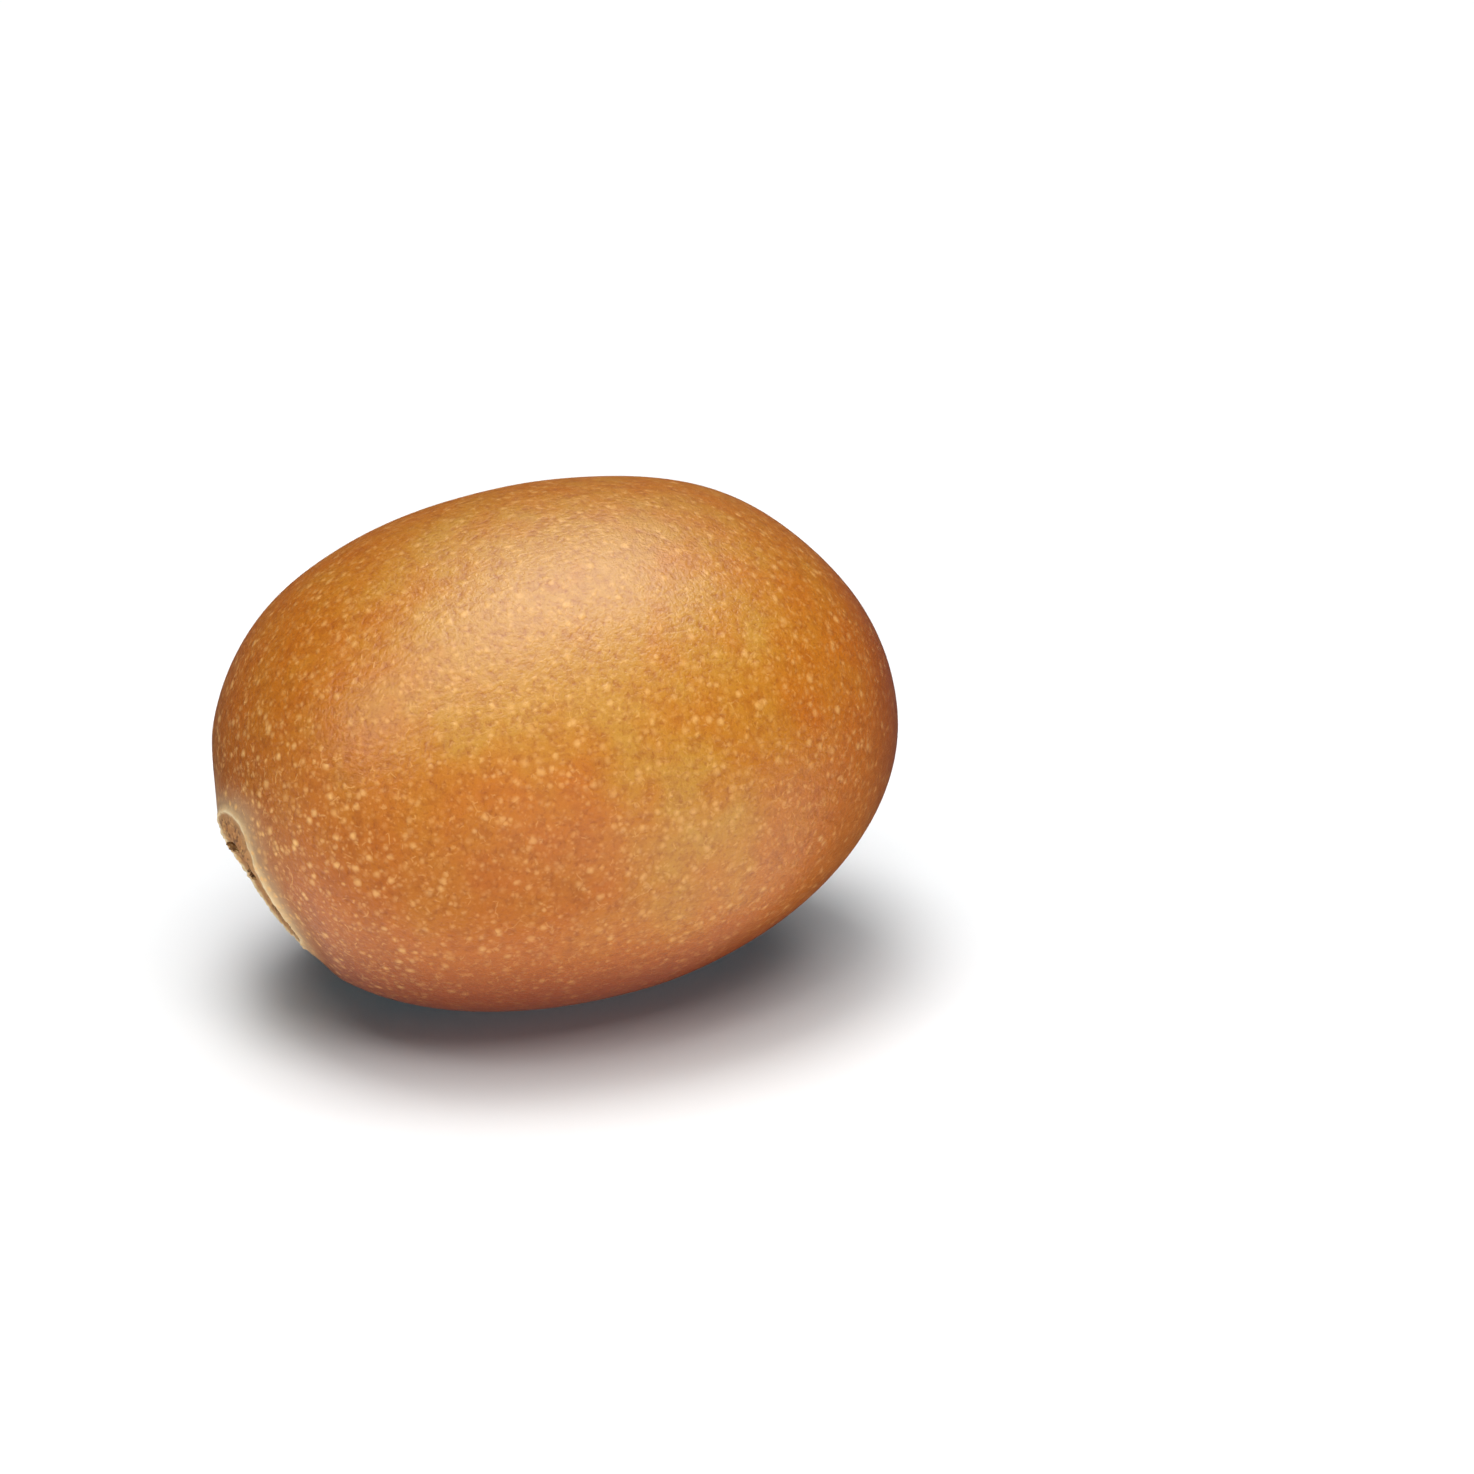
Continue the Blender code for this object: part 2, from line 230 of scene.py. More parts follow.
table = add_sheet(
    "white_table", "background_paper_rolled_matt", (TABLE_SIZE, TABLE_SIZE), (0, 0, 0), PAPER_WHITE, PAPER_ROUGHNESS
)
lit["table"].objects.link(table)
for name, facts in CARDS.items():
    card = add_sheet(name, "black_card_uncoated", facts["size"], facts["place"], CARD_BLACK, CARD_ROUGHNESS)
    card.data.transform(Matrix.Rotation(VIEW_TURN, 4, "Z"))
    card.visible_camera = card.visible_diffuse = card.visible_shadow = False
print("lights:", ", ".join([*FRUIT_LIGHTS, *TABLE_LIGHTS]))

# %% [markdown]
# ## The grown body
# A kiwi fruit is an oval that is fuller than an ellipse, with a few broad swells. A ball is a good
# start, because it has a pole at each end of the fruit. A rule moves each of its points: first onto
# the oval, and then, near an end, onto the round form of that end. The rule has the same values as
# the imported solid, so that the finer skin lies where the solid is.

# %% Sizes of the body
LENGTH = 70.0 * MM
WIDTH = 55.0 * MM
HEIGHT = 52.0 * MM
STEM_FULLNESS = 2.26
BLOSSOM_FULLNESS = 2.07
LEAN = math.radians(3)
REST_CUT = 0.45 * MM
SWELLS = (
    (Vector((0.60, 0.28, 0.75)), 0.45 * MM),
    (Vector((0.88, 0.08, 0.47)), -0.40 * MM),
    (Vector((0.92, -0.32, -0.20)), 0.35 * MM),
    (Vector((0.45, -0.52, -0.73)), -0.20 * MM),
    (Vector((-0.67, -0.25, -0.70)), 0.30 * MM),
    (Vector((-0.72, 0.45, 0.52)), 0.30 * MM),
    (Vector((-0.95, 0.22, 0.14)), 0.35 * MM),
)
SWELL_SPREAD = math.radians(16)
LUMP_SIZE = 9.0 * MM
LUMP_HEIGHT = 0.05 * MM


def body_point(direction):
    """Where the plain oval body lies, seen from its centre in that direction of a unit ball."""
    power = STEM_FULLNESS if direction.x < 0 else BLOSSOM_FULLNESS
    along = abs(direction.x)
    across = math.hypot(direction.y, direction.z)
    reach = (along**power + across**power) ** (-1 / power)
    point = Vector((direction.x * LENGTH, direction.y * WIDTH, direction.z * HEIGHT)) * (reach / 2)
    swell = LUMP_HEIGHT * noise.noise(point / LUMP_SIZE)
    for place, height in SWELLS:
        swell += height * math.exp(-((direction.angle(place) / SWELL_SPREAD) ** 2))
    return point + point.normalized() * swell


print("the body's top is", round(body_point(UP).z / MM, 2), "mm above its middle")

# %% [markdown]
# ## The two ends
# At the stem end the fruit is cut off at a slant by a shallow cup with a thin, wavy rim, where the
# stalk stood. At the blossom end there is a small dimple. Both are round forms about an axis of their
# own, so each is a height above a plane, as a function of the distance from that axis. An End holds
# the plane, which faces the way the body faces there.

# %% Sizes and rules of the ends
STEM_DIP = math.radians(15)
STEM_TURN = math.radians(1.5)
RIM_RADIUS = 7.4 * MM
RIM_LIP = 0.30 * MM
RIM_LIP_WIDTH = 1.5 * MM
RIM_RIPPLE = 0.03
RIM_WAVE = 0.12 * MM
RIM_FAR_TURN = math.radians(95)
RIM_TORN = (0.55 * MM, 2.4 * MM)
RIM_TORN_TURN = math.radians(343)
RIM_TORN_SPREAD = math.radians(27)
RIM_WORN = 0.26 * MM
RIM_WORN_TURN = math.radians(215)
RIM_WORN_SPREAD = math.radians(38)
CUP_FLOOR_RADIUS = 3.3 * MM
CUP_DEPTH = 1.5 * MM
BLOSSOM_RISE = math.radians(3)
BLOSSOM_TURN = math.radians(7)
DIMPLE_RADIUS = 4.8 * MM
DIMPLE_FLOOR_RADIUS = 2.5 * MM
DIMPLE_DEPTH = 0.7 * MM
SHOULDER_CURVE = 0.0225 / MM
END_FADE = 6.6 * MM
RING_SCALE = 27.0 * MM
NEARBY = 0.01


def smooth_step(value, low, high):
    """A share that grows smoothly from 0 at low to 1 at high."""
    share = min(1.0, max(0.0, (value - low) / (high - low)))
    return share * share * (3 - 2 * share)


class End:
    """One end of the fruit: the pole of its rings, the way it faces and the middle of its rim."""

    def __init__(self, side, rise, turn, rim_radius, lip):
        self.rim_radius = rim_radius
        across = math.cos(rise)
        pole = Vector((side * across * math.cos(turn) / LENGTH, across * math.sin(turn) / WIDTH, 0))
        pole.z = math.sin(rise) / HEIGHT
        pole.normalize()
        self.ring_turn = UP.rotation_difference(pole)
        spot = body_point(pole)
        beside = body_point((pole + self.ring_turn @ Vector((NEARBY, 0, 0))).normalized())
        above = body_point((pole + self.ring_turn @ Vector((0, NEARBY, 0))).normalized())
        self.axis = (beside - spot).cross(above - spot).normalized()
        self.turn = spot.rotation_difference(self.axis) @ self.ring_turn
        self.middle = spot - self.axis * (SHOULDER_CURVE * rim_radius**2 - lip)

    def point(self, distance, around, height):
        """A point that lies this far from the end's axis and this far outside the plane of its rim."""
        across = self.turn @ Vector((math.cos(around), math.sin(around), 0))
        return self.middle + across * distance + self.axis * height

    def placing(self):
        """The matrix that sets a piece, modelled about +Z on the rim's plane, into this end."""
        return Matrix.Translation(self.middle) @ self.turn.to_matrix().to_4x4()


STEM = End(-1, -STEM_DIP, STEM_TURN, RIM_RADIUS, RIM_LIP)
BLOSSOM = End(1, BLOSSOM_RISE, BLOSSOM_TURN, DIMPLE_RADIUS, 0)


def shoulder(distance, rim_radius):
    """How far the fruit falls away outside the rim of an end."""
    return -SHOULDER_CURVE * (distance**2 - rim_radius**2)


def bulge(around, middle, spread):
    """A smooth bump round the circle: 1 at its middle, and near 0 beyond twice its spread."""
    off = (around - middle + math.pi) % (2 * math.pi) - math.pi
    return math.exp(-((off / spread) ** 2))


def ridge_reach(around):
    """How far the pale ridge is from the axis. It is no circle: on one side the skin tore off further out."""
    even, torn = RIM_TORN
    near_side = 0.5 - 0.5 * math.cos(around - RIM_FAR_TURN)
    return RIM_RADIUS + even * near_side + torn * bulge(around, RIM_TORN_TURN, RIM_TORN_SPREAD)


def from_ridge(distance, around):
    """The distance from the axis on a scale where the uneven ridge lies at RIM_RADIUS."""
    ridge = ridge_reach(around)
    return distance * RIM_RADIUS / ridge if distance < ridge else distance - ridge + RIM_RADIUS


def cup_height(distance, around):
    """The cup's surface, measured outwards from the plane of its rim."""
    worn = bulge(around, RIM_WORN_TURN, RIM_WORN_SPREAD)
    wave = RIM_WAVE * (math.cos(2 * around + 2.3) + 0.5 * math.cos(5 * around)) - RIM_WORN * worn
    if distance > RIM_RADIUS:
        lip = smooth_step(distance, RIM_RADIUS, RIM_RADIUS + RIM_LIP_WIDTH)
        return shoulder(distance, RIM_RADIUS) + wave * (1 - lip) - RIM_LIP * lip * (1 - 0.4 * worn)
    rise = smooth_step(distance, CUP_FLOOR_RADIUS, RIM_RADIUS)
    return wave * rise - CUP_DEPTH * (1 - rise)


def dimple_height(distance):
    """The dimple's surface, measured outwards from the plane of its rim."""
    if distance > DIMPLE_RADIUS:
        return shoulder(distance, DIMPLE_RADIUS)
    return -DIMPLE_DEPTH * (1 - smooth_step(distance, DIMPLE_FLOOR_RADIUS, DIMPLE_RADIUS))


def rippled(distance, around):
    """A distance from an end's axis, made to stray a little as it goes round."""
    return distance * (1 + RIM_RIPPLE * (math.cos(2 * around + 0.6) + 0.4 * math.cos(5 * around)))


print("the stem end faces", [round(v, 2) for v in STEM.axis])

# %% [markdown]
# ## Fine wrinkles at the stem end
# Close to the stalk the skin is dry. It ends in a thin corky ridge, torn in places, and inside that lie
# a bare, sunken edge and the cup with its fine radial wrinkles. Noise along the circle gives both, and
# fades out outside the rim.

# %% Wrinkles
WRINKLE_HEIGHT = 0.12 * MM
WRINKLE_COUNT = 5.0
WRINKLE_LONG = 2.5 * MM
WRINKLE_SHORT = 1.2 * MM
WRINKLE_FADE = 3 * MM
RIDGE_HEIGHT = 0.13 * MM
RIDGE_WIDTH = 0.24 * MM
BARE_DEPTH = 0.10 * MM
BARE_STEP = 0.5 * MM
TEAR_SHARE = 0.9


def wrinkles(distance, around):
    """How far dry wrinkles and the rim's ridge lift the skin at this place, on the rim's scale."""
    ray = Vector((math.cos(around), math.sin(around), 0)) * WRINKLE_COUNT
    fine = noise.noise(ray + UP * (distance / WRINKLE_LONG))
    fine += 0.5 * noise.noise(ray * 2.7 + UP * (distance / WRINKLE_SHORT))
    torn = 1 + TEAR_SHARE * (noise.noise(ray * 1.3 + UP * 7) + noise.noise(ray * 4 + UP * 3))
    ridge = math.exp(-(((distance - RIM_RADIUS) / RIDGE_WIDTH) ** 2))
    near = 1 - smooth_step(distance, RIM_RADIUS, RIM_RADIUS + WRINKLE_FADE)
    bare = 1 - smooth_step(distance, RIM_RADIUS - BARE_STEP, RIM_RADIUS)
    return WRINKLE_HEIGHT * fine * near + RIDGE_HEIGHT * torn * ridge - BARE_DEPTH * bare


print("the pale ridge is", [round(ridge_reach(math.radians(a)) / MM, 1) for a in range(0, 360, 60)], "mm from its axis")


# %% [markdown]
# ## The skin
# The rings of the ball stand closer together at both ends, where the form changes fastest. Each point
# also keeps its distance from the stalk and from the blossom end as an attribute, so that the
# material can colour the rings there. A soft floor at the resting plane flattens the underside.

# %% Skin mesh
SKIN_SEGMENTS = 288
SKIN_RINGS = 260
RING_SHARES = (0.0, 0.26, 0.36, 0.84, 0.90, 1.0)
RING_ANGLES = tuple(math.radians(a) for a in (0, 20, 36, 150, 166, 180))
REST_SOFTNESS = 0.05 * MM


def interpolate(value, places, results):
    """The result at value, on straight runs between the given places."""
    for i in range(1, len(places)):
        if value <= places[i]:
            share = (value - places[i - 1]) / (places[i] - places[i - 1])
            return results[i - 1] + share * (results[i] - results[i - 1])
    return results[-1]


def fruit_point(unit):
    """The place on the fruit, about its centre, of a point of a unit ball, and its distances from both ends."""
    share = math.acos(max(-1.0, min(1.0, unit.z))) / math.pi
    angle = interpolate(share, RING_SHARES, RING_ANGLES)
    around = math.atan2(unit.y, unit.x)
    flat = math.sin(angle)
    distance = RING_SCALE * flat
    blossom_turn = BLOSSOM.ring_turn @ Quaternion((1, 0, 0), math.pi)
    turn = STEM.ring_turn.slerp(blossom_turn, angle / math.pi)
    ball = Vector((flat * math.cos(around), flat * math.sin(around), math.cos(angle)))
    point = body_point(turn @ ball)
    end = STEM if angle < math.pi / 2 else BLOSSOM
    held = 1 - smooth_step(distance, end.rim_radius, end.rim_radius + END_FADE)
    if end is STEM:
        scaled = from_ridge(distance, around)
        height = cup_height(distance, around) + wrinkles(scaled, around)
        return point.lerp(end.point(rippled(distance, around), around, height), held), scaled, 1
    return point.lerp(end.point(rippled(distance, -around), -around, dimple_height(distance)), held), 1, distance


def resting():
    """Lays the fruit down: leans it and lifts it, so that the resting plane is Z = 0."""
    lowest = math.hypot(LENGTH / 2 * math.sin(LEAN), HEIGHT / 2 * math.cos(LEAN))
    return Matrix.Translation((0, 0, lowest - REST_CUT)) @ Matrix.Rotation(-LEAN, 4, "Y")


def finish_piece(name, shape, material):
    """A finished piece that rides on the fruit's one body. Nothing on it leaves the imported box."""
    for vertex in shape.verts:
        vertex.co = [min(max(value, low), high) for value, low, high in zip(vertex.co, LOWEST, HIGHEST)]
    mesh = bpy.data.meshes.new(name)
    shape.to_mesh(mesh)
    shape.free()
    mesh.materials.append(material)
    mesh.shade_smooth()
    piece = bpy.data.objects.new(name, mesh)
    bpy.context.scene.collection.objects.link(piece)
    lit["fruit"].objects.link(piece)
    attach(piece, "root")
    lowest, highest = ([round(pick(v.co[i] for v in mesh.vertices) / MM, 2) for i in range(3)] for pick in (min, max))
    print(name, "has", len(mesh.polygons), "faces, from", lowest, "to", highest, "mm")
    return piece


def skin_shape():
    """The skin's mesh: a ball whose points are moved onto the fruit, with their distances from both ends."""
    skin = bmesh.new()
    bmesh.ops.create_uvsphere(skin, u_segments=SKIN_SEGMENTS, v_segments=SKIN_RINGS, radius=1)
    from_stalk = skin.verts.layers.float.new("from_stalk")
    from_blossom = skin.verts.layers.float.new("from_blossom")
    laid = resting()
    for vertex in skin.verts:
        place, stalk, blossom = fruit_point(vertex.co.normalized())
        place = laid @ place
        place.z = (place.z + math.hypot(place.z, REST_SOFTNESS)) / 2
        vertex.co = place
        vertex[from_stalk] = stalk / MM
        vertex[from_blossom] = blossom / MM
    bmesh.ops.recalc_face_normals(skin, faces=skin.faces)
    return skin


print("the fruit's middle is laid down", round(resting().translation.z / MM, 2), "mm above the table")

# %% [markdown]
# ## Finishes in millimetres
# Every finish below is solid: its patterns are read in space, so that they have no seam and don't
# stretch. The place on the object is turned into millimetres first. A lump of 5 mm is then a noise of
# scale 1/5, and the sizes in the lesson are the sizes on the fruit. Where a node has several inputs
# of one name they are counted instead: a mix of colours has its share at 0, its colours at 6 and 7.

# %% A new finish
def new_finish(name, roughness, ior):
    """An empty finish with its gloss: the material, its tree, its shader and the place in millimetres."""
    made = bpy.data.materials.new(name)
    made.use_nodes = True
    tree = made.node_tree
    shader = tree.nodes["Principled BSDF"]
    shader.inputs["Roughness"].default_value = roughness
    shader.inputs["IOR"].default_value = ior
    space = add_node(tree, "ShaderNodeTexCoord").outputs["Object"]
    place = add_node(tree, "ShaderNodeVectorMath", {0: space, "Scale": 1000}, operation="SCALE")
    return made, tree, shader, place


print("golden ochre as linear light:", [round(v, 3) for v in linear("#B0781C")])

# %% [markdown]
# ## The colours of the skin
# The skin of a golden kiwi is smooth, thin and leathery. Its colour isn't one brown: the upper front is
# paler golden ochre, partly a sunnier side and partly painted highlight, where the broad highlight
# lies; the rest is more orange. The underside is redder and darker as painted shade, and the blossom
# end is too, partly as its own colour and partly as painted shade. A deeper orange patch in the middle
# of the front is painted shade, and a paler patch below it is a painted reflection of the white table.
# Soft patches of a few millimetres break all this up. The place and two noises add to one value of
# ripeness and painted light, and a colour ramp turns it into a colour. A grain of half a millimetre
# darkens it here and there, as the cells do. One small upright nick has healed to a dark red. All the
# places are in the fruit's own millimetres, so that the marks stay on the same spot of the skin. A fade
# says from where to where it runs, and what it reaches there if that isn't 1.

# %% Skin colours
RIPENESS_AND_LIGHT = (
    (0.25, "#93440F"), (0.52, "#A85A0E"), (0.66, "#B05E0C"), (0.80, "#B16710"), (0.93, "#B2741C"), (1.0, "#B37D28"),
)
# Red brown: partly the blossom end's own colour, and painted shade on the underside and the blossom side.
RED_BROWN_AND_SHADE = "#86330A"
DEEP_ORANGE = "#8C4203"
NICK_RED = "#702A0C"
# Painted highlight: towards this side the skin is paler golden ochre, partly a sunnier side and partly the broad
# highlight painted into the colour.
SUNNY_AND_HIGHLIGHT_SIDE = (-0.1528, -0.5731, 0.8051)
SUNNY_AND_HIGHLIGHT_SHARE = 0.5
LEAST_RIPE = 0.17
BROAD_PATCH = 22.0
BROAD_SHARE = 0.30
PATCH = 5.0
PATCH_SHARE = 0.42
# Painted shade: a deeper orange patch in the middle of the front.
SHADE_PATCH_PLACE = (-10.56, -23.82, 28.91)
SHADE_PATCH_FADE = {"From Min": 14.0, "From Max": 3.0, "To Max": -0.14}
# Painted reflection: a paler patch below it, where the white table mirrors in the skin.
TABLE_REFLECTION_PLACE = (2.77, -25.48, 19.61)
TABLE_REFLECTION_FADE = {"From Min": 18.0, "From Max": 4.0, "To Max": 0.15}
# Painted shade: the underside grows red brown towards the table, and the blossom side partly does too.
BLOSSOM_BLUSH_AND_SHADE_FADE = {"From Min": 24.0, "From Max": 35.0}
UNDERSIDE_SHADE_FADE = {"From Min": 17.0, "From Max": 5.0, "To Max": 0.95}
MOTTLE = 1.3
MOTTLE_FADE = {"From Min": 0.56, "From Max": 0.32, "To Max": 0.34}
GRAIN = 0.48
GRAIN_FADE = {"From Min": 0.52, "From Max": 0.28, "To Max": 0.34}
NICK_PLACE = (-11.02, -24.44, 28.27)
NICK_AXES = ((2.79, -1.11, 0.0), (0.156, 0.393, 0.906), (-0.10, -0.25, 0.13))
NICK_FADE = {"From Min": 0.85, "From Max": 0.25, "To Max": 0.6}


def grown_colour_and_painted_light(tree, place):
    """The skin's colour without its pores, with painted highlight, shade and reflection. Also how red it is
    there, partly as painted shade, its mottle and its grain.
    """
    middle = add_node(tree, "ShaderNodeVectorMath", {0: place, 1: BODY_MIDDLE / MM}, operation="SUBTRACT")
    outwards = add_node(tree, "ShaderNodeVectorMath", {0: middle}, operation="NORMALIZE")
    # Painted highlight: the colour grows paler golden towards the lit upper front.
    sunny_and_lit = add_node(tree, "ShaderNodeVectorMath", {0: outwards, 1: SUNNY_AND_HIGHLIGHT_SIDE}, operation="DOT_PRODUCT").outputs["Value"]
    broad = add_node(tree, "ShaderNodeTexNoise", {"Vector": place, "Scale": 1 / BROAD_PATCH, "Detail": 3.0})
    patch = add_node(tree, "ShaderNodeTexNoise", {"Vector": place, "Scale": 1 / PATCH, "Detail": 3.0})
    ripe_and_lit = add_node(tree, "ShaderNodeMath", {0: sunny_and_lit, 1: SUNNY_AND_HIGHLIGHT_SHARE, 2: LEAST_RIPE}, operation="MULTIPLY_ADD")
    ripe_and_lit = add_node(tree, "ShaderNodeMath", {0: broad, 1: BROAD_SHARE, 2: ripe_and_lit}, operation="MULTIPLY_ADD")
    ripe_and_lit = add_node(tree, "ShaderNodeMath", {0: patch, 1: PATCH_SHARE, 2: ripe_and_lit}, operation="MULTIPLY_ADD")
    # Painted shade and painted reflection: the deeper patch and the paler one below it shift the value.
    for spot, fade in ((SHADE_PATCH_PLACE, SHADE_PATCH_FADE), (TABLE_REFLECTION_PLACE, TABLE_REFLECTION_FADE)):
        away = add_node(tree, "ShaderNodeVectorMath", {0: place, 1: spot}, operation="DISTANCE").outputs["Value"]
        change = add_node(tree, "ShaderNodeMapRange", {"Value": away, **fade}, interpolation_type="SMOOTHSTEP")
        ripe_and_lit = add_node(tree, "ShaderNodeMath", {0: ripe_and_lit, 1: change}, operation="ADD")
    colour = add_node(tree, "ShaderNodeValToRGB", {0: ripe_and_lit}, stops=RIPENESS_AND_LIGHT)
    # Painted shade: mixed towards red brown on the underside, and partly on the blossom side.
    along = add_node(tree, "ShaderNodeSeparateXYZ", {0: place})
    blossom_blush_and_shade = {"Value": along.outputs["X"], **BLOSSOM_BLUSH_AND_SHADE_FADE}
    blossom_blush_and_shade = add_node(tree, "ShaderNodeMapRange", blossom_blush_and_shade, interpolation_type="SMOOTHSTEP")
    underside_shade = {"Value": along.outputs["Z"], **UNDERSIDE_SHADE_FADE}
    underside_shade = add_node(tree, "ShaderNodeMapRange", underside_shade, interpolation_type="SMOOTHSTEP")
    red_and_shade = add_node(tree, "ShaderNodeMath", {0: blossom_blush_and_shade, 1: underside_shade}, operation="MAXIMUM")
    colour = add_node(tree, "ShaderNodeMix", {0: red_and_shade, 6: colour, 7: linear(RED_BROWN_AND_SHADE)}, data_type="RGBA")
    fine = {"Vector": place, "Roughness": 0.6}
    mottle = add_node(tree, "ShaderNodeTexNoise", {**fine, "Scale": 1 / MOTTLE, "Detail": 3.0})
    grain = add_node(tree, "ShaderNodeTexNoise", {**fine, "Scale": 1 / GRAIN, "Detail": 2.0})
    deep = add_node(tree, "ShaderNodeMapRange", {"Value": mottle, **MOTTLE_FADE}, interpolation_type="SMOOTHSTEP")
    deeper = add_node(tree, "ShaderNodeMapRange", {"Value": grain, **GRAIN_FADE}, interpolation_type="SMOOTHSTEP")
    deep = add_node(tree, "ShaderNodeMath", {0: deep, 1: deeper}, operation="ADD")
    colour = add_node(tree, "ShaderNodeMix", {0: deep, 6: colour, 7: linear(DEEP_ORANGE)}, data_type="RGBA")
    from_nick = add_node(tree, "ShaderNodeVectorMath", {0: place, 1: NICK_PLACE}, operation="SUBTRACT")
    narrow = add_node(tree, "ShaderNodeCombineXYZ")
    for number, axis in enumerate(NICK_AXES):
        along_it = add_node(tree, "ShaderNodeVectorMath", {0: from_nick, 1: axis}, operation="DOT_PRODUCT")
        tree.links.new(along_it.outputs["Value"], narrow.inputs[number])
    away = add_node(tree, "ShaderNodeVectorMath", {0: narrow}, operation="LENGTH").outputs["Value"]
    nick = add_node(tree, "ShaderNodeMapRange", {"Value": away, **NICK_FADE}, interpolation_type="SMOOTHSTEP")
    colour = add_node(tree, "ShaderNodeMix", {0: nick, 6: colour, 7: linear(NICK_RED)}, data_type="RGBA")
    return colour, red_and_shade, mottle, grain


print("the skin ripens from", RIPENESS_AND_LIGHT[0][1], "to", RIPENESS_AND_LIGHT[-1][1])

# %% [markdown]
# ## Lenticels and fine marks
# All over the skin lie lenticels, the pale corky pores through which the fruit breathes: 0.2 to 0.9 mm
# wide and about a millimetre apart. A Voronoi texture in space scatters balls, and the surface cuts
# them into dots of many sizes, with no seam and no stretching. Noise bends them, so that they aren't
# round. A second texture gives the thin pale cracks that join some of them. They are strongest on the
# drier skin near the stalk.

# %% Lenticels
DOT_LAYERS = (
    {"spacing": 1.40, "radius": 0.37, "strength": 0.55},
    {"spacing": 0.95, "radius": 0.27, "strength": 0.46},
    {"spacing": 0.55, "radius": 0.17, "strength": 0.24},
)
DOT_LEAST = 0.5
DOT_RANGE = 0.7
DOT_EDGE = (-0.60, 0.95)
DOT_DIMMEST = 0.35
DOT_BEND = 0.55
BEND_SIZE = 0.8
CRACK_SPACING = 1.5
CRACK_FADE = {"From Min": 0.08, "From Max": 0.0, "To Max": 0.26}
CRACK_PATCH = 1.1
CRACK_PATCH_FADE = {"From Min": 0.58, "From Max": 0.68}


def lenticels(tree, place):
    """Where the skin is pale with pores and cracks, from 0 to 1."""
    bend = add_node(tree, "ShaderNodeTexNoise", {"Vector": place, "Scale": 1 / BEND_SIZE, "Detail": 2.0})
    bent = {0: bend.outputs["Color"], 1: (DOT_BEND, DOT_BEND, DOT_BEND), 2: place}
    bent = add_node(tree, "ShaderNodeVectorMath", bent, operation="MULTIPLY_ADD")
    pale = 0.0
    for layer in DOT_LAYERS:
        radius = layer["radius"] / layer["spacing"]
        cells = add_node(tree, "ShaderNodeTexVoronoi", {"Vector": bent, "Scale": 1 / layer["spacing"]})
        chance = add_node(tree, "ShaderNodeSeparateColor", {0: cells.outputs["Color"]})
        reach = {0: chance.outputs[0], 1: DOT_RANGE * radius, 2: DOT_LEAST * radius}
        reach = add_node(tree, "ShaderNodeMath", reach, operation="MULTIPLY_ADD")
        inside = add_node(tree, "ShaderNodeMath", {0: reach, 1: cells}, operation="SUBTRACT")
        edge = {"Value": inside, "From Min": DOT_EDGE[0] * radius, "From Max": DOT_EDGE[1] * radius}
        dot = add_node(tree, "ShaderNodeMapRange", edge, interpolation_type="SMOOTHSTEP")
        bright = {"To Min": DOT_DIMMEST * layer["strength"], "To Max": layer["strength"]}
        bright = add_node(tree, "ShaderNodeMapRange", {"Value": chance.outputs[1], **bright})
        dot = add_node(tree, "ShaderNodeMath", {0: dot, 1: bright}, operation="MULTIPLY")
        pale = add_node(tree, "ShaderNodeMath", {0: pale, 1: dot}, operation="MAXIMUM")
    walls = {"Vector": bent, "Scale": 1 / CRACK_SPACING}
    walls = add_node(tree, "ShaderNodeTexVoronoi", walls, feature="DISTANCE_TO_EDGE")
    thin = add_node(tree, "ShaderNodeMapRange", {"Value": walls, **CRACK_FADE}, interpolation_type="SMOOTHSTEP")
    some = add_node(tree, "ShaderNodeTexNoise", {"Vector": place, "Scale": 1 / CRACK_PATCH, "Detail": 1.0})
    some = add_node(tree, "ShaderNodeMapRange", {"Value": some, **CRACK_PATCH_FADE}, interpolation_type="SMOOTHSTEP")
    crack = add_node(tree, "ShaderNodeMath", {0: thin, 1: some}, operation="MULTIPLY")
    return add_node(tree, "ShaderNodeMath", {0: pale, 1: crack}, operation="MAXIMUM")


widest = 2 * (DOT_LEAST + DOT_RANGE)
print("pores of up to", [round(widest * layer["radius"], 2) for layer in DOT_LAYERS], "mm wide")

# %% [markdown]
# ## The two ends' colours
# Round the stalk the skin is drier: greyish tan outside the rim, a thin cream ridge on it, and tan with
# brown specks inside. A colour ramp reads each point's distance from the stalk, and a little noise
# makes its rings ragged. The blossom end only grows browner.

# %% Colours near the ends
RING_SPAN = 20.0
STALK_RINGS = (
    (0.0, "#3F2815"), (3.0, "#5E3D1C"), (4.6, "#96632C"), (6.0, "#AE743C"), (7.0, "#B88650"),
    (7.28, "#E8D2A4"), (7.55, "#CBA97A"), (8.1, "#AE875E"), (9.5, "#AE784A"), (12.0, "#AE6828"),
)
FRAY_SIZE = 0.9
FRAY = 0.45
FRAY_MIDDLE = 0.22
SPECK_BROWN = "#6E4422"
SPECK_SIZE = 0.7
SPECK_FADE = {"From Min": 0.50, "From Max": 0.60}
CUP_FADE = {"From Min": 7.1, "From Max": 6.3, "To Max": 0.85}
RAGGED_SIZE = 3.5
RAGGED = 5.0
DRY_FADE = {"From Min": 14.8, "From Max": 11.0}
BLOSSOM_BROWN = "#5E3214"
BLOSSOM_FADE = {"From Min": 9.0, "From Max": 2.0, "To Max": 0.85}


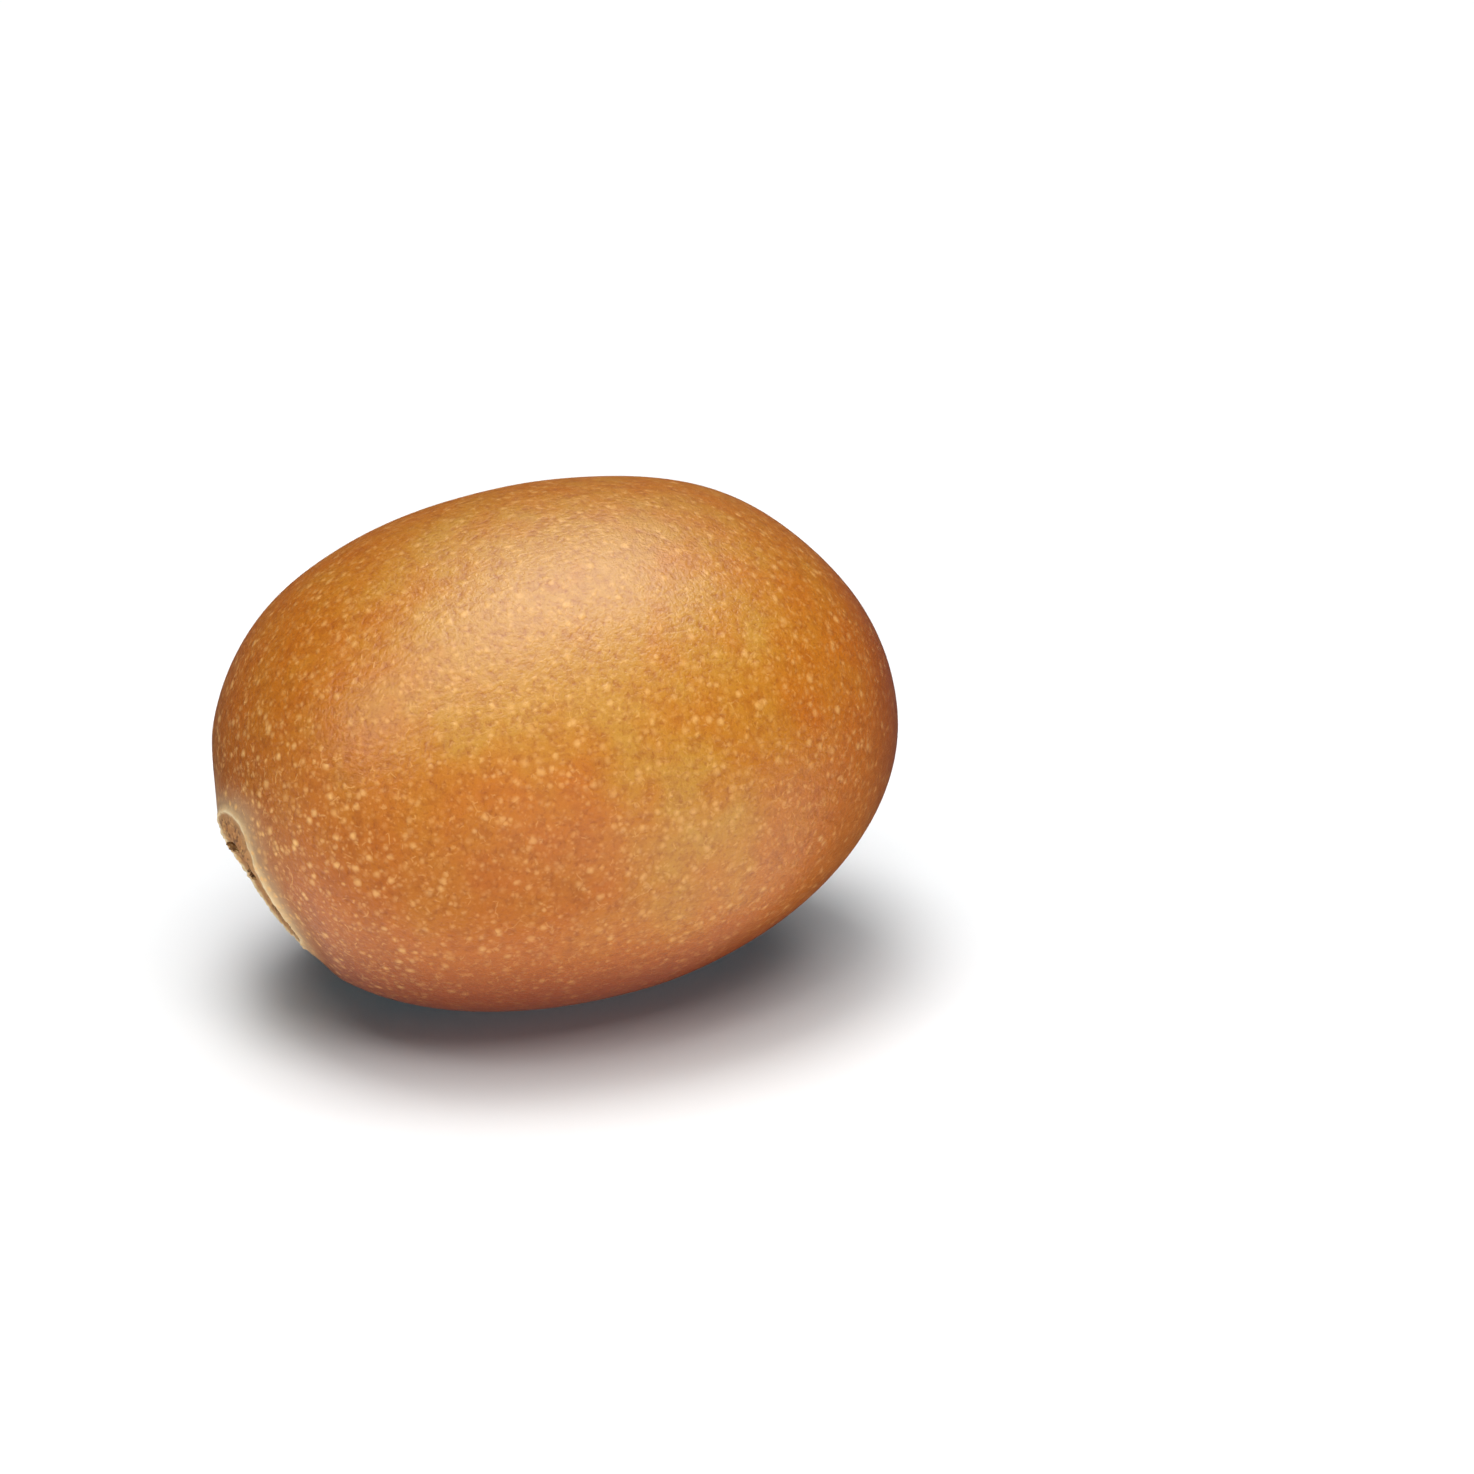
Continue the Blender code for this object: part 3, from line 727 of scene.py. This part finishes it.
def end_colours(tree, place, colour):
    """The colour with the rings of both ends, and how dry the skin is."""
    from_stalk = add_node(tree, "ShaderNodeAttribute", attribute_name="from_stalk").outputs["Fac"]
    frayed = add_node(tree, "ShaderNodeTexNoise", {"Vector": place, "Scale": 1 / FRAY_SIZE, "Detail": 2.0})
    ring = add_node(tree, "ShaderNodeMath", {0: frayed, 1: FRAY, 2: from_stalk}, operation="MULTIPLY_ADD")
    ring = add_node(
        tree, "ShaderNodeMapRange", {"Value": ring, "From Min": FRAY_MIDDLE, "From Max": RING_SPAN + FRAY_MIDDLE}
    )
    stops = [(mm / RING_SPAN, hex_colour) for mm, hex_colour in STALK_RINGS]
    rings = add_node(tree, "ShaderNodeValToRGB", {0: ring}, stops=stops)
    specks = add_node(tree, "ShaderNodeTexNoise", {"Vector": place, "Scale": 1 / SPECK_SIZE, "Detail": 3.0})
    specks = add_node(tree, "ShaderNodeMapRange", {"Value": specks, **SPECK_FADE}, interpolation_type="SMOOTHSTEP")
    within = add_node(tree, "ShaderNodeMapRange", {"Value": from_stalk, **CUP_FADE}, interpolation_type="SMOOTHSTEP")
    specks = add_node(tree, "ShaderNodeMath", {0: specks, 1: within}, operation="MULTIPLY")
    rings = add_node(tree, "ShaderNodeMix", {0: specks, 6: rings, 7: linear(SPECK_BROWN)}, data_type="RGBA")
    ragged = add_node(tree, "ShaderNodeTexNoise", {"Vector": place, "Scale": 1 / RAGGED_SIZE, "Detail": 3.0})
    ragged = add_node(tree, "ShaderNodeMath", {0: ragged, 1: RAGGED, 2: from_stalk}, operation="MULTIPLY_ADD")
    dry = add_node(tree, "ShaderNodeMapRange", {"Value": ragged, **DRY_FADE}, interpolation_type="SMOOTHSTEP")
    colour = add_node(tree, "ShaderNodeMix", {0: dry, 6: colour, 7: rings}, data_type="RGBA")
    from_blossom = add_node(tree, "ShaderNodeAttribute", attribute_name="from_blossom").outputs["Fac"]
    browner = {"Value": from_blossom, **BLOSSOM_FADE}
    browner = add_node(tree, "ShaderNodeMapRange", browner, interpolation_type="SMOOTHSTEP")
    colour = add_node(tree, "ShaderNodeMix", {0: browner, 6: colour, 7: linear(BLOSSOM_BROWN)}, data_type="RGBA")
    return colour, dry, from_stalk


print("the stalk's rings change at", [mm for mm, hex_colour in STALK_RINGS], "mm from its axis")

# %% [markdown]
# ## Kiwi skin, grown and naturally waxed
# The real surface grew as it is: nobody sanded or painted it. Its thin wax gives a satin sheen, a soft
# and rather wide highlight that breaks up over the grain, with no sharp mirror image anywhere. So the
# IOR is 1.6, the roughness 0.4, and mottle, grain and raised pores give the bump, in millimetres.
# Pores and dry skin are corky, and rougher. A down too short to see makes the far edges a little
# paler: that is a faint sheen.

# %% Golden skin material
PORE_COLOUR = "#E8B268"
SKIN_ROUGHNESS = 0.40
SKIN_IOR = 1.6
DOWN_SHEEN = 0.025
DOWN_ROUGHNESS = 0.4
PORES_NEAR_STALK = {"From Min": 23.0, "From Max": 12.0, "To Min": 1.0, "To Max": 2.0}
PORES_ON_RED_AND_SHADE = -0.62
GRAIN_RELIEF = 0.10
MOTTLE_RELIEF = 0.06
PORE_RELIEF = 0.06
PORE_ROUGHER = 0.10
DRY_ROUGHER = 0.25


def skin_material():
    """The skin's finish: its colours, with painted highlight and shade, its pores, its bump and how rough it is."""
    made, tree, shader, place = new_finish("kiwi_skin_waxy_with_painted_light", SKIN_ROUGHNESS, SKIN_IOR)
    colour, red_and_shade, mottle, grain = grown_colour_and_painted_light(tree, place)
    colour, dry, from_stalk = end_colours(tree, place, colour)
    pale = lenticels(tree, place)
    share = {"Value": from_stalk, **PORES_NEAR_STALK}
    share = add_node(tree, "ShaderNodeMapRange", share, interpolation_type="SMOOTHSTEP")
    # Pores show less where the skin is painted red brown as shade.
    share = add_node(tree, "ShaderNodeMath", {0: red_and_shade, 1: PORES_ON_RED_AND_SHADE, 2: share}, operation="MULTIPLY_ADD")
    shown = add_node(tree, "ShaderNodeMath", {0: pale, 1: share}, operation="MULTIPLY", use_clamp=True)
    colour = add_node(tree, "ShaderNodeMix", {0: shown, 6: colour, 7: linear(PORE_COLOUR)}, data_type="RGBA")
    relief = add_node(tree, "ShaderNodeMath", {0: grain, 1: GRAIN_RELIEF}, operation="MULTIPLY")
    relief = add_node(tree, "ShaderNodeMath", {0: mottle, 1: MOTTLE_RELIEF, 2: relief}, operation="MULTIPLY_ADD")
    relief = add_node(tree, "ShaderNodeMath", {0: pale, 1: PORE_RELIEF, 2: relief}, operation="MULTIPLY_ADD")
    bump = add_node(tree, "ShaderNodeBump", {"Height": relief, "Distance": MM, "Strength": 1.0})
    rough = add_node(tree, "ShaderNodeMath", {0: pale, 1: PORE_ROUGHER, 2: SKIN_ROUGHNESS}, operation="MULTIPLY_ADD")
    rough = add_node(tree, "ShaderNodeMath", {0: dry, 1: DRY_ROUGHER, 2: rough}, operation="MULTIPLY_ADD")
    shader.inputs["Sheen Weight"].default_value = DOWN_SHEEN
    shader.inputs["Sheen Roughness"].default_value = DOWN_ROUGHNESS
    # The base colour holds painted highlight, painted shade and a painted reflection, besides the skin's own colours.
    tree.links.new(colour.outputs[2], shader.inputs["Base Color"])
    tree.links.new(rough.outputs[0], shader.inputs["Roughness"])
    tree.links.new(bump.outputs[0], shader.inputs["Normal"])
    print(made.name, "has", len(tree.nodes), "nodes")
    return made


skin = finish_piece("fruit_skin", skin_shape(), skin_material())
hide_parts("fruit")

# %% [markdown]
# ## The dried calyx
# In the cup lies what is left of the flower's calyx: a corky disc that the stalk broke away from, and
# five dried sepals, thin as paper, that follow the cup and curl up at their ragged tips. The disc is a
# low drum whose crown is stepped inwards and roughened. Each sepal is a grid that is bent over the
# cup's own surface, crumpled by noise and given its thickness last.

# %% Dried calyx
SCAR_RADIUS = 2.7 * MM
SCAR_CROWN_RADIUS = 2.2 * MM
SCAR_HEIGHT = 1.15 * MM
SCAR_STEPS = (
    (0.25 * MM, 0.08 * MM), (0.3 * MM, -0.2 * MM), (0.7 * MM, 0.12 * MM), (0.25 * MM, -0.35 * MM), (0.2 * MM, 0.1 * MM),
)
SCAR_GRAIN = 0.5 * MM
SCAR_ROUGH = 0.07 * MM
SCAR_SEGMENTS = 64
SEPAL_COUNT = 5
SEPAL_ROOT = 1.8 * MM
SEPAL_REACH = 5.3 * MM
SEPAL_WIDTH = 3.3 * MM
SEPAL_TAPER = 0.62
SEPAL_THICKNESS = 0.2 * MM
SEPAL_CLEARANCE = 0.24 * MM
SEPAL_CURL = 0.52 * MM
SEPAL_TROUGH = 0.5 * MM
SEPAL_RAGGED = 0.16
SEPAL_UNEVEN = 0.12
SEPAL_START = 0.35
CRUMPLE = 0.22 * MM
SHAKE_OFFSETS = (0.0, 31.4, 77.7)


def shaken(place):
    """Three noises at a place, one for each axis. They are the same in every run."""
    return Vector([noise.noise(place + UP * offset) for offset in SHAKE_OFFSETS])


def drum(radius, crown_radius, height, depth, steps, segments):
    """A low drum on the floor of a hollow of this depth. Its crown is stepped, and its edges are halved."""
    shape = bmesh.new()
    bmesh.ops.create_cone(
        shape, cap_ends=True, segments=segments, radius1=radius, radius2=crown_radius, depth=height,
        matrix=Matrix.Translation((0, 0, height / 2 - depth)),
    )
    crown = max(shape.faces, key=lambda face: face.calc_center_median().z)
    for inwards, upwards in steps:
        bmesh.ops.inset_region(shape, faces=[crown], thickness=inwards, depth=upwards)
    bmesh.ops.poke(shape, faces=[crown])
    bmesh.ops.subdivide_edges(shape, edges=shape.edges[:], cuts=1, use_grid_fill=True)
    return shape


def scar_disc():
    """The corky scar of the stalk: a drum that is lobed and roughened."""
    disc = drum(SCAR_RADIUS, SCAR_CROWN_RADIUS, SCAR_HEIGHT, CUP_DEPTH, SCAR_STEPS, SCAR_SEGMENTS)
    for vertex in disc.verts:
        around = math.atan2(vertex.co.y, vertex.co.x)
        vertex.co.xy *= 1 + 0.05 * math.cos(3 * around + 1) + 0.03 * math.cos(7 * around)
        vertex.co += shaken(vertex.co / SCAR_GRAIN) * SCAR_ROUGH
    return disc


def sepal(around, rng):
    """One dried sepal: a ragged blade rooted in the scar, following the cup and curling up at its tip."""
    blade = bmesh.new()
    bmesh.ops.create_grid(blade, x_segments=24, y_segments=12, size=0.5)
    reach = SEPAL_REACH * rng.uniform(0.82, 1.05)
    width = SEPAL_WIDTH * rng.uniform(0.8, 1.05)
    curl = SEPAL_CURL * rng.uniform(0.4, 1.5)
    seed = Vector((rng.uniform(0, 50), 0, 0))
    for vertex in blade.verts:
        share = vertex.co.x + 0.5
        side = vertex.co.y
        ragged = noise.noise(seed + Vector((side * 9, 0, 0))) * SEPAL_RAGGED * share
        distance = SEPAL_ROOT + share * (reach - SEPAL_ROOT) * (1 - side * side + ragged)
        uneven = 1 + SEPAL_UNEVEN * noise.noise(seed + Vector((share * 7, side * 2, 3)))
        across = width * (1 - SEPAL_TAPER * share * math.sqrt(share)) * uneven
        height = cup_height(distance, around) + SEPAL_CLEARANCE + curl * share**3
        height += 2 * SEPAL_TROUGH * abs(side) * share
        height += CRUMPLE * noise.noise(seed + Vector((share * 4, side * 5, 0))) * (0.3 + share)
        vertex.co = (distance, side * across, height)
    bmesh.ops.recalc_face_normals(blade, faces=blade.faces)
    if sum(face.normal.z for face in blade.faces) > 0:
        bmesh.ops.reverse_faces(blade, faces=blade.faces)
    bmesh.ops.solidify(blade, geom=blade.faces[:], thickness=SEPAL_THICKNESS)
    bmesh.ops.recalc_face_normals(blade, faces=blade.faces)
    blade.transform(Matrix.Rotation(around, 4, "Z"))
    return blade


def gathered(parts):
    """One mesh from several, which are freed."""
    whole = bmesh.new()
    for part in parts:
        mesh = bpy.data.meshes.new("part")
        part.to_mesh(mesh)
        part.free()
        whole.from_mesh(mesh)
        bpy.data.meshes.remove(mesh)
    return whole


def calyx_shape():
    """The scar with its ring of sepals, set into the cup."""
    rng = random.Random(5)
    parts = [scar_disc()]
    for number in range(SEPAL_COUNT):
        turn = 2 * math.pi * (number + rng.uniform(-0.12, 0.12)) / SEPAL_COUNT
        parts.append(sepal(turn + SEPAL_START, rng))
    calyx = gathered(parts)
    calyx.transform(resting() @ STEM.placing())
    return calyx


print(SEPAL_COUNT, "sepals reach up to", SEPAL_REACH / MM, "mm from the stalk's axis")

# %% [markdown]
# ## Withered leaf and cork
# The sepals and the scar withered on the plant: they are dry, dull and fibrous, so that they show no
# gloss at all. Their brown is uneven, darker in some patches and tan where the fibres show. Two noises
# mix three browns, and the finer one roughens the surface.

# %% Dried calyx material
WITHERED_ROUGHNESS = 0.8
WITHERED_IOR = 1.4
WITHERED_PATCH = 1.1
BROWNER_FADE = {"From Min": 0.38, "From Max": 0.62}
FIBRE_FADE = {"From Min": 0.50, "From Max": 0.70}
FIBRE_RELIEF = 0.12


def withered_material(name, dark, middle, light, fibre_size):
    """A dull, fibrous finish in three browns, mixed in noise patches, lightest where the fibres show."""
    made, tree, shader, place = new_finish(name, WITHERED_ROUGHNESS, WITHERED_IOR)
    patch = add_node(tree, "ShaderNodeTexNoise", {"Vector": place, "Scale": 1 / WITHERED_PATCH, "Detail": 3.0})
    fibre = {"Vector": place, "Scale": 1 / fibre_size, "Detail": 4.0, "Roughness": 0.65}
    fibre = add_node(tree, "ShaderNodeTexNoise", fibre)
    browner = add_node(tree, "ShaderNodeMapRange", {"Value": patch, **BROWNER_FADE}, interpolation_type="SMOOTHSTEP")
    tanner = add_node(tree, "ShaderNodeMapRange", {"Value": fibre, **FIBRE_FADE}, interpolation_type="SMOOTHSTEP")
    colour = add_node(tree, "ShaderNodeMix", {0: browner, 6: linear(dark), 7: linear(middle)}, data_type="RGBA")
    colour = add_node(tree, "ShaderNodeMix", {0: tanner, 6: colour, 7: linear(light)}, data_type="RGBA")
    relief = add_node(tree, "ShaderNodeMath", {0: fibre, 1: FIBRE_RELIEF}, operation="MULTIPLY")
    bump = add_node(tree, "ShaderNodeBump", {"Height": relief, "Distance": MM, "Strength": 1.0})
    tree.links.new(colour.outputs[2], shader.inputs["Base Color"])
    tree.links.new(bump.outputs[0], shader.inputs["Normal"])
    print(made.name, "has", len(tree.nodes), "nodes")
    return made


sepal_leaf = withered_material("sepal_leaf_withered", "#6A4626", "#9A7040", "#C09A66", fibre_size=0.3)
calyx = finish_piece("calyx_dry", calyx_shape(), sepal_leaf)
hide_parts("calyx")

# %% [markdown]
# ## The dried styles
# At the other end the flower's styles stay on the fruit as a brittle tuft: some thirty thin brown
# spikes on a hard little button. Each spike is a slender cone with rings along it, so that it can be
# bent. They are turned by the golden angle, as they grow, and lean outwards more towards the edge.
# Their withered finish is much darker than the sepals', with a finer fibre, so that the tuft looks
# almost charred from afar.

# %% Dried styles
BUTTON_RADIUS = 1.9 * MM
BUTTON_CROWN_RADIUS = 1.3 * MM
BUTTON_HEIGHT = 0.8 * MM
BUTTON_STEPS = ((0.4 * MM, 0.12 * MM), (0.5 * MM, 0.04 * MM))
BUTTON_SEGMENTS = 48
BUTTON_GRAIN = 0.6 * MM
BUTTON_ROUGH = 0.09 * MM
STYLE_COUNT = 30
STYLE_LENGTH = 2.9 * MM
STYLE_ROOT = 0.26 * MM
STYLE_TIP = 0.09 * MM
STYLE_ROOT_HEIGHT = 0.4 * MM
STYLE_CIRCLE = 1.35 * MM
STYLE_LEAN = (math.radians(12), math.radians(62))
STYLE_LEAN_STRAY = 0.15
STYLE_RINGS = 7
STYLE_SEGMENTS = 7
STYLE_BEND = 0.35 * MM
STYLE_GRAIN = 0.25 * MM
STYLE_ROUGH = 0.03 * MM
GOLDEN_ANGLE = math.radians(137.5)


def style_button():
    """The hard little button that the styles stand on."""
    button = drum(BUTTON_RADIUS, BUTTON_CROWN_RADIUS, BUTTON_HEIGHT, DIMPLE_DEPTH, BUTTON_STEPS, BUTTON_SEGMENTS)
    for vertex in button.verts:
        vertex.co += shaken(vertex.co / BUTTON_GRAIN) * BUTTON_ROUGH
    return button


def dried_style(number, rng):
    """One dried style: a thin, bent and tapered spike, rooted in the button and leaning outwards."""
    out = math.sqrt((number + 0.5) / STYLE_COUNT)
    length = STYLE_LENGTH * rng.uniform(0.55, 1.05)
    lean = STYLE_LEAN[0] + (STYLE_LEAN[1] - STYLE_LEAN[0]) * out + rng.uniform(-STYLE_LEAN_STRAY, STYLE_LEAN_STRAY)
    spike = bmesh.new()
    bmesh.ops.create_circle(spike, cap_ends=True, segments=STYLE_SEGMENTS, radius=STYLE_ROOT)
    end = spike.faces[:]
    for ring in range(1, STYLE_RINGS + 1):
        share = ring / STYLE_RINGS
        end = bmesh.ops.extrude_face_region(spike, geom=end)["geom"]
        end = [item for item in end if isinstance(item, bmesh.types.BMFace)]
        radius = STYLE_ROOT + (STYLE_TIP - STYLE_ROOT) * math.sqrt(share)
        for vertex in end[0].verts:
            flat = vertex.co.xy.normalized() * radius
            vertex.co = (flat.x, flat.y, length * share)
    bmesh.ops.recalc_face_normals(spike, faces=spike.faces)
    seed = Vector((number * 3.7, 0, 0))
    for vertex in spike.verts:
        share = vertex.co.z / length
        bend = shaken(seed + UP * share * 1.5) * STYLE_BEND * 2 * share
        vertex.co.xy += bend.xy
        vertex.co += shaken(vertex.co / STYLE_GRAIN) * STYLE_ROUGH
    root = Vector((out * STYLE_CIRCLE, 0, STYLE_ROOT_HEIGHT - DIMPLE_DEPTH))
    turn = Matrix.Rotation(number * GOLDEN_ANGLE, 4, "Z")
    spike.transform(turn @ Matrix.Translation(root) @ Matrix.Rotation(lean, 4, "Y"))
    return spike


def styles_shape():
    """The tuft of styles on its button, set into the dimple."""
    rng = random.Random(11)
    styles = gathered([style_button()] + [dried_style(number, rng) for number in range(STYLE_COUNT)])
    styles.transform(resting() @ BLOSSOM.placing())
    return styles


withered_styles = withered_material("flower_styles_withered", "#22130B", "#4A2B17", "#7C5631", fibre_size=0.2)
styles = finish_piece("styles_dry", styles_shape(), withered_styles)
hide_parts("styles")
